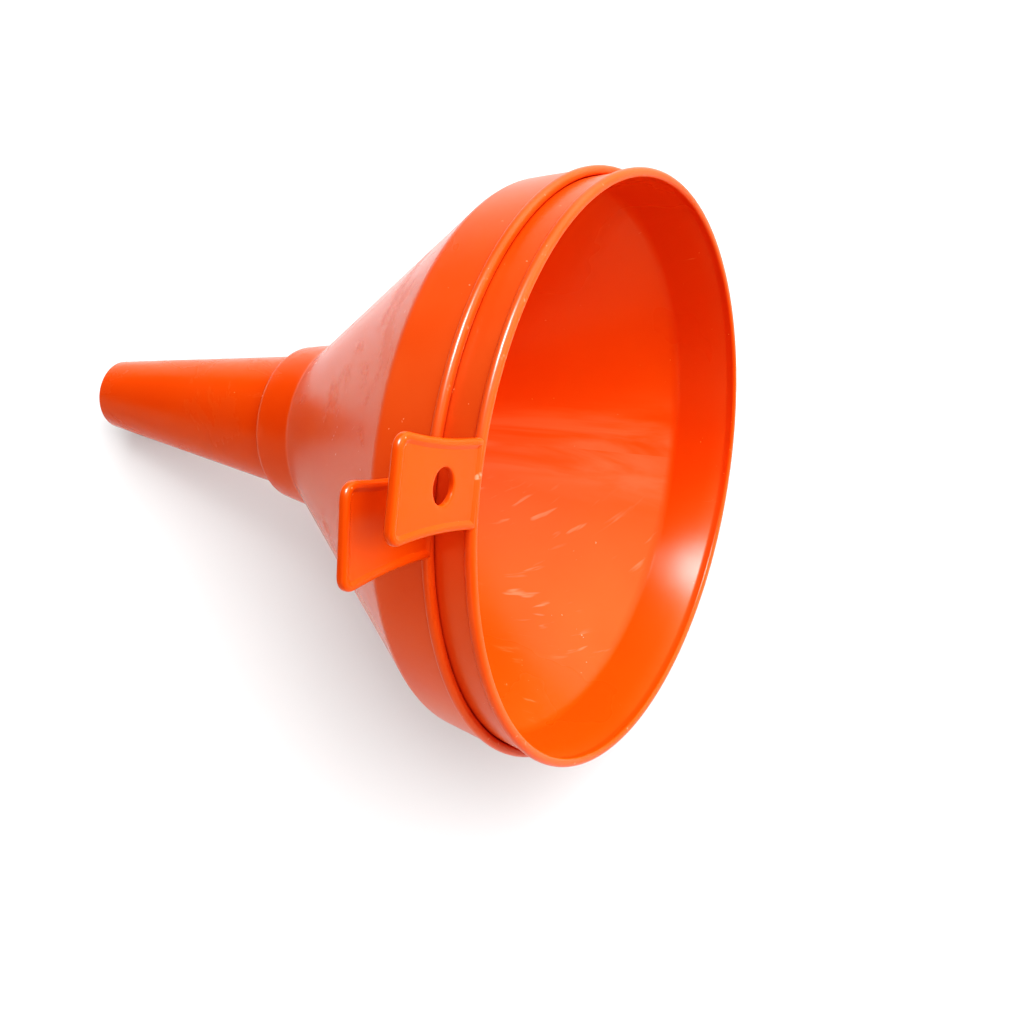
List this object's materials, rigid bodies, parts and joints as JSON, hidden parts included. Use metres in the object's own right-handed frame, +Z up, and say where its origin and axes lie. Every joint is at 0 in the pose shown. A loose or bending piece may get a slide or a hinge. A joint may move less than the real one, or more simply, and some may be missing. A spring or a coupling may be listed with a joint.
{
  "type": "nested funnel pair",
  "caption": "Plastic workshop funnels with a steep rim band, cone, stepped collar, tapered spout and hang tab, nested one in the other and lying on their side.",
  "frame": {"origin": "bottom centre of the pair's bounding box, on the surface it lies on", "axes": "+Z up from the surface, +X towards the mouths along the common axis seen from above, +Y completes the right-handed frame"},
  "size_m": [0.201, 0.16, 0.1774],
  "materials": {
    "orange_plastic": "satin to glossy, lightly scuffed"
  },
  "bodies": {
    "outer_funnel": {"outer_bowl": "orange_plastic", "outer_spout": "orange_plastic", "outer_hang_tab": "orange_plastic"},
    "inner_funnel": {"inner_bowl": "orange_plastic", "inner_spout": "orange_plastic", "inner_hang_tab": "orange_plastic"}
  },
  "joints": [
    {"name": "inner_lift_out", "type": "slide", "parent": "outer_funnel", "child": "inner_funnel", "axis": [0.9163, 0, 0.4006], "range_m": [0, 0.18]}
  ]
}
